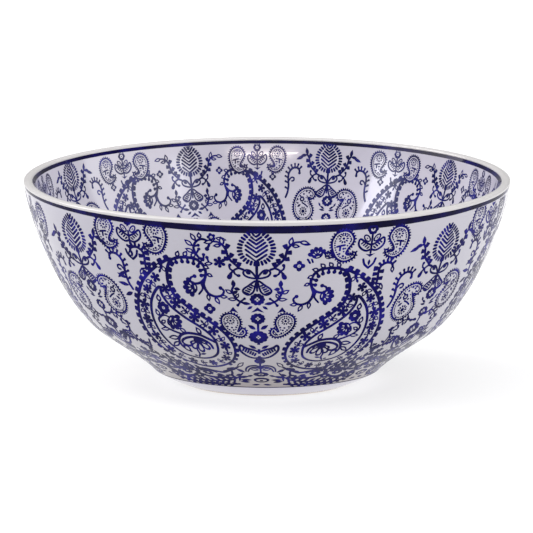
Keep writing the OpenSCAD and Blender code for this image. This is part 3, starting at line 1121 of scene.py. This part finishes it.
def inner_coat():
    """Coat over the lip and down the inside to the middle of the floor."""
    band = np.array([inner_head, inner_foot])
    top = axis_end(np.concatenate([over_lip, offset(band, COBALT_T), inside]))
    under = axis_end(offset(np.concatenate([over_lip, inside]), GLAZE_T))
    turned_piece("inner_glaze_coat", closed(top, under), WHITE_GLAZE, "white_glaze", "inner_glaze")
    ring = closed(band, offset(band, COBALT_T))
    turned_piece("inner_band_ring", ring, BAND_COBALT, "cobalt_band", "inner_rim_band")


def foot_coats():
    """Glaze on the outside of the foot, and in the recess under the floor."""
    z = np.linspace(BARE_EDGE, FOOT_H, 13)
    u = z / FOOT_H
    r = STAND_R + (JOINT_R - STAND_R) * u + FOOT_SWELL * u * (1 - u)
    side = np.stack([r, z], 1)
    inner_side = side - xy(1.6 * GLAZE_T, 0)
    turned_piece("foot_glaze_coat", closed(side, inner_side), FOOT_GLAZE_LIT, "foot_glaze", "foot_glaze")
    roof = FOOT_H - GLAZE_T
    base = [
        (0, FOOT_H), (BORE_R + GLAZE_T, FOOT_H), (BORE_R + GLAZE_T, BARE_EDGE), (BORE_R, BARE_EDGE),
        (BORE_R, roof - 2.0), (BORE_R - 0.6, roof - 0.6), (BORE_R - 2.0, roof), (0, roof)
    ]
    turned_piece("base_glaze_coat", base, WHITE_GLAZE, "white_glaze", "base_glaze")


outer_coat()
inner_coat()
foot_coats()
for node in ("bowl_body", "foot_ring"):
    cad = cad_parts[node]
    cad.data.materials.clear()
    cad.data.materials.append(CLAY)

# ---------------------------------------------------------------------------
# The print: art cut into triangles, laid on the wall as thin closed plates
# ---------------------------------------------------------------------------
PROUD = 0.06                               # how far the fired print stands above the glaze
SUNK = 0.12                                # how far it is sunk into it
INSIDE_ONLY = 1                            # the cut's setting that keeps only what lies inside an outline
CUT_GAP = 1e-5                             # points nearer than this are taken as one
OUTER_TOP = 4.6                            # levels at which the print is cut off, behind the bands
INNER_TOP = 2.6
INNER_SCALE = 0.77                         # the inside's print is smaller
OUTER_COLUMNS = -2.5 + np.arange(-3, 4) * 360 / 7      # columns in degrees; the print is joined at the back
INNER_COLUMNS = np.array([-60.2, -20.4, 16.1, 53.7, 88.9, 124.0, 159.2, 194.3, 229.5, 264.6])
HIGH_COLUMN = 2                            # the outside's column that was laid higher than the rest
HIGH_COLUMN_BY = 5.0
INNER_COLUMN_BY = 10.5                       # how much higher the second kind of column is laid inside
BAND_LEAN = 6                              # degrees right of the front at which the rim band is broadest
ALL_OF_IT = -60                            # a top level above the whole of the floor's art


def covered(outline, x, y):
    """Which of the points x, y lie inside an outline."""
    ax, ay = outline.real, outline.imag
    bx, by = np.roll(ax, -1), np.roll(ay, -1)
    inside = np.zeros(len(x), bool)
    for k in range(len(outline)):
        if ay[k] != by[k]:
            crosses = (ay[k] > y) != (by[k] > y)
            inside ^= crosses & (x < (bx[k] - ax[k]) * (y - ay[k]) / (by[k] - ay[k]) + ax[k])
    return inside


def touching_groups(shapes):
    """The shapes in groups whose bounding boxes touch, each group in drawing order."""
    low = np.array([(p.real.min(), p.imag.min()) for _, p in shapes])
    high = np.array([(p.real.max(), p.imag.max()) for _, p in shapes])
    waiting = np.ones(len(shapes), bool)
    groups = []
    for first in range(len(shapes)):
        if not waiting[first]:
            continue
        waiting[first] = False
        group, front = [], [first]
        while front:
            k = front.pop()
            group.append(k)
            touch = waiting & (low <= high[k]).all(1) & (high >= low[k]).all(1)
            waiting &= ~touch
            front += np.flatnonzero(touch).tolist()
        groups.append([shapes[k] for k in sorted(group)])
    return groups


def group_cut(shapes):
    """Points and triangles of the ink that shows in one group of shapes."""
    starts = np.concatenate([[0], np.cumsum([len(p) for _, p in shapes])])
    faces = [list(range(a, b)) for a, b in zip(starts, starts[1:])]
    everything = np.concatenate([p for _, p in shapes])
    flat_points = [Vector((p.real, p.imag)) for p in everything]
    points, _, pieces, _, _, _ = delaunay_2d_cdt(flat_points, [], faces, INSIDE_ONLY, CUT_GAP)
    points = np.array([tuple(p) for p in points]) @ np.array([1, 1j])
    triangles = np.array([(p[0], b, c) for p in pieces for b, c in zip(p[1:], p[2:])], int)
    middle = points[triangles].mean(1)
    order = np.argsort(middle.real)
    triangles, middle = triangles[order], middle[order]
    shown = np.zeros(len(middle), bool)
    for ink, p in shapes:
        a, b = np.searchsorted(middle.real, (p.real.min(), p.real.max()))
        near = a + np.flatnonzero((middle.imag[a:b] > p.imag.min()) & (middle.imag[a:b] < p.imag.max()))
        hit = near[covered(p, middle.real[near], middle.imag[near])]
        shown[hit] = ink
    used, kept = np.unique(triangles[shown], return_inverse=True)
    return points[used], kept.reshape(-1, 3)


def flat_cut(art, top):
    """The art's ink in triangles, cut off above the level top."""
    shapes = [(ink, p.real + 1j * np.maximum(p.imag, top)) for ink, p in art if p.imag.max() > top]
    points, triangles, count = [], [], 0
    for group in touching_groups(shapes):
        some, cut_triangles = group_cut(group)
        points.append(some)
        triangles.append(cut_triangles + count)
        count += len(some)
    return np.concatenate(points), np.concatenate(triangles)


def path_table(path):
    """Arc length, points and outward directions along a profile."""
    far = np.concatenate([[0], np.cumsum(np.linalg.norm(np.diff(path, axis=0), axis=1))])
    d = unit_along(path)
    return far, path, np.stack([d[:, 1], -d[:, 0]], 1)


def on_path(table, far):
    """Radius, height and outward direction at places along a profile."""
    length, path, out = table
    return [np.interp(far, length, column) for column in (*path.T, *out.T)]


def plate(name, flat, triangles, place, node, material=None, slot="cobalt_print"):
    """A closed plate. place() turns flat points into points on the wall and outward directions."""
    middle, out = place(flat)
    points = np.concatenate([middle + PROUD * out, middle - SUNK * out]) * MM
    a, b, c = (middle[triangles[:, k]] for k in range(3))
    facing = (np.cross(b - a, c - a) * out[triangles[:, 0]]).sum()
    top = triangles if facing > 0 else triangles[:, ::-1]
    n = len(middle)
    edges = np.concatenate([top[:, [0, 1]], top[:, [1, 2]], top[:, [2, 0]]])
    keys = edges.min(1).astype(np.int64) * n + edges.max(1)
    _, first, counts = np.unique(keys, return_index=True, return_counts=True)
    rim = edges[first[counts == 1]]
    sides = np.stack([rim[:, 1], rim[:, 0], rim[:, 0] + n, rim[:, 1] + n], 1)
    under = top[:, ::-1] + n
    mesh = bpy.data.meshes.new(name)
    corners = np.concatenate([top.ravel(), under.ravel(), sides.ravel()])
    totals = np.concatenate([np.full(len(top) * 2, 3), np.full(len(sides), 4)])
    mesh.vertices.add(2 * n)
    mesh.vertices.foreach_set("co", points.astype(np.float32).ravel())
    mesh.loops.add(len(corners))
    mesh.loops.foreach_set("vertex_index", corners.astype(np.int32))
    mesh.polygons.add(len(totals))
    mesh.polygons.foreach_set("loop_start", np.concatenate([[0], np.cumsum(totals)[:-1]]).astype(np.int32))
    mesh.update(calc_edges=True)
    both = np.concatenate([flat, flat])
    span = max(np.ptp(flat.real), np.ptp(flat.imag))
    u = (both.real - flat.real.min()) / span
    v = (both.imag - flat.imag.min()) / span
    set_uv(mesh, np.stack([u[corners], v[corners]], 1))
    mesh.shade_smooth()
    mesh.normals_split_custom_set_from_vertices(np.concatenate([out, out]).tolist())
    inner = INNER_COBALT if node == "inner_print" else PRINT_COBALT
    return ready(bpy.data.objects.new(name, mesh), material or inner, slot, node)


def wall_place(table, column, squeeze, scale, facing):
    """Lays flat art on a wall. facing is -1 for the outside, seen from -Y, and 1 for the inside."""
    def place(flat):
        turn = np.radians(column + squeeze * flat.real / MM_PER_DEG)
        r, z, out_r, out_z = on_path(table, scale * flat.imag)
        middle = np.stack([r * np.sin(turn), facing * r * np.cos(turn), z], 1)
        out = np.stack([out_r * np.sin(turn), facing * out_r * np.cos(turn), out_z], 1)
        return middle, out
    return place


def print_ring(name, table, angles, squeeze, scale, facing, fields, columns):
    """Fields and columns all the way round. Columns of two kinds take turns, and a field whose first
    column is of the second kind is mirrored. fields and columns hold the cut art for each kind."""
    ahead = np.append(angles[1:], angles[0] + 360)
    for k, (here, gap) in enumerate(zip(angles, ahead - angles)):
        kind = (k + 1) % 2
        flat, triangles = fields[kind]
        if kind:
            flat = spot(FIELD, 0) - flat.conj()
        plate(f"{name}_{k + 1}", flat, triangles, wall_place(table, here, gap / FIELD, scale, facing), name)
        flat, triangles = columns[kind]
        if name == "outer_print" and k == HIGH_COLUMN:
            flat = flat - 1j * HIGH_COLUMN_BY
        place = wall_place(table, here, squeeze, scale, facing)
        plate(f"{name}_column_{k + 1}", flat, triangles, place, name)


def painted_band(table):
    """The band below the lip, painted by hand: broad at the front and narrower round the sides and back."""
    steps, rows = 360, 4
    turn = np.arange(steps + 1) * 360 / steps - 180
    front = (1 + np.cos(np.radians(turn - BAND_LEAN))) / 2
    head = 0.7 + 1.2 * front ** 3
    foot = 2.9 + 4.75 * front ** 5
    across = np.linspace(0, 1, rows + 1)[:, None]
    flat = (turn * MM_PER_DEG + 1j * (head + (foot - head) * across)).ravel()
    corner = (np.arange(rows)[:, None] * (steps + 1) + np.arange(steps)).ravel()
    a, b, c, d = corner, corner + 1, corner + steps + 2, corner + steps + 1
    triangles = np.concatenate([np.stack([a, b, c], 1), np.stack([a, c, d], 1)])
    place = wall_place(table, 0, 1, 1.0, -1)
    plate("outer_band_ring", flat, triangles, place, "outer_rim_band", BAND_COBALT, "cobalt_band")


def floor_place(table):
    """Lays flat art on the floor of the bowl, as seen from above."""
    _, path, out = table
    path, out = path[::-1], out[::-1]

    def place(flat):
        r = np.abs(flat)
        way = flat / np.maximum(r, 1e-9)
        z, out_r, out_z = (np.interp(r, path[:, 0], column) for column in (path[:, 1], *out.T))
        middle = np.stack([flat.real, -flat.imag, z], 1)
        return middle, np.stack([out_r * way.real, -out_r * way.imag, out_z], 1)
    return place


down_the_wall = [[lip_side, band_head], upper_wall[::-1], lower_wall[::-1][1:], [line_head, joint]]
outer_path = np.concatenate(down_the_wall)
inner_path = np.concatenate([[inner_head, inner_foot], inner_wall, axis_end(inner_floor)])
outer_far, outer_path, outer_out = path_table(outer_path)
outer_table = (outer_far, outer_path, -outer_out)
inner_table = path_table(inner_path)
painted_band(outer_table)
outer_fields = [flat_cut(right_field(), OUTER_TOP), flat_cut(left_field(), OUTER_TOP)]
outer_columns = [flat_cut(column_a(), OUTER_TOP), flat_cut(column_b(), OUTER_TOP)]
print_ring("outer_print", outer_table, OUTER_COLUMNS, 1.0, 1.0, -1, outer_fields, outer_columns)
inner_fields = [flat_cut(inner_field(), INNER_TOP)] * 2
raised_column = moved(column_b(), -1j * INNER_COLUMN_BY)
inner_columns = [flat_cut(column_a(), INNER_TOP), flat_cut(raised_column, INNER_TOP)]
print_ring(
    "inner_print", inner_table, INNER_COLUMNS, INNER_SCALE, INNER_SCALE, 1, inner_fields, inner_columns
)
plate("inner_print_floor", *flat_cut(floor_rosette(), ALL_OF_IT), floor_place(inner_table), "inner_print")

# ---------------------------------------------------------------------------
# Floor, light and camera
# ---------------------------------------------------------------------------
def floor():
    size = 6.0
    steps = 12
    mesh = bpy.data.meshes.new("studio_floor")
    ticks = np.linspace(-size, size, steps + 1)
    points = [(x, y, 0.0) for y in ticks for x in ticks]
    row = steps + 1
    corners = [j * row + i for j in range(steps) for i in range(steps)]
    faces = [(k, k + 1, k + row + 1, k + row) for k in corners]
    mesh.from_pydata(points, [], faces)
    piece = bpy.data.objects.new("studio_floor", mesh)
    mat, _, shader = new_material("pale_floor")
    shader.inputs["Base Color"].default_value = (0.28, 0.28, 0.28, 1)
    shader.inputs["Emission Color"].default_value = (1, 1, 1, 1)
    shader.inputs["Emission Strength"].default_value = 0.70
    shader.inputs["Roughness"].default_value = 0.9
    shader.inputs["Specular IOR Level"].default_value = 0.2
    mesh.materials.append(mat)
    bpy.context.scene.collection.objects.link(piece)


def area_light(name, place, size, size_y, power, colour=(1, 1, 1), target=(0, 0, 0.08)):
    data = bpy.data.lights.new(name, "AREA")
    data.shape = "RECTANGLE"
    data.size = size
    data.size_y = size_y
    data.energy = power
    data.color = colour
    lamp = bpy.data.objects.new(name, data)
    lamp.location = place
    lamp.rotation_euler = (Vector(target) - Vector(place)).to_track_quat("-Z", "Y").to_euler()
    bpy.context.scene.collection.objects.link(lamp)


def sun(name, azimuth, height, spread, strength, colour=(1, 1, 1)):
    """A far soft light. Its azimuth turns from the front towards the right, in degrees."""
    data = bpy.data.lights.new(name, "SUN")
    data.energy = strength
    data.angle = math.radians(spread)
    data.color = colour
    lamp = bpy.data.objects.new(name, data)
    a, h = math.radians(azimuth), math.radians(height)
    way = Vector((math.sin(a) * math.cos(h), -math.cos(a) * math.cos(h), math.sin(h)))
    lamp.rotation_euler = way.to_track_quat("Z", "Y").to_euler()
    bpy.context.scene.collection.objects.link(lamp)


def studio():
    sun("overhead", 0, 84, 70, 2.0)
    sun("right_key", 74, 8, 60, 2.2)
    sun("left_key", -110, 40, 40, 2.2, (1.0, 0.96, 0.93))
    area_light("left_window", (-1.85, -0.75, 1.0), 0.6, 0.8, 16, (0.86, 0.88, 1.0))
    area_light("right_window", (1.45, -1.30, 1.1), 0.45, 0.8, 6, (0.86, 0.88, 1.0))
    area_light("far_strip", (0.3, -8.6, 2.68), 5.5, 0.10, 150, (1.0, 0.86, 0.80), (0, 0.16, 0.14))
    world = bpy.data.worlds.new("studio")
    world.use_nodes = True
    background = world.node_tree.nodes["Background"]
    background.inputs["Color"].default_value = (1.0, 1.0, 1.0, 1)
    background.inputs["Strength"].default_value = 0.45
    bpy.context.scene.world = world
    bpy.context.scene.view_settings.view_transform = "Standard"


def camera():
    elevation = math.radians(10.6)
    away = 7.12
    target = Vector((-0.00036, 0, 0.0840))
    data = bpy.data.cameras.new("camera")
    data.lens = 656.5
    data.sensor_width = 36
    data.clip_start = 0.5
    data.clip_end = 60
    cam = bpy.data.objects.new("camera", data)
    cam.location = target + away * Vector((0, -math.cos(elevation), math.sin(elevation)))
    cam.rotation_euler = (target - cam.location).to_track_quat("-Z", "Y").to_euler()
    bpy.context.scene.collection.objects.link(cam)
    bpy.context.scene.camera = cam


floor()
studio()
camera()
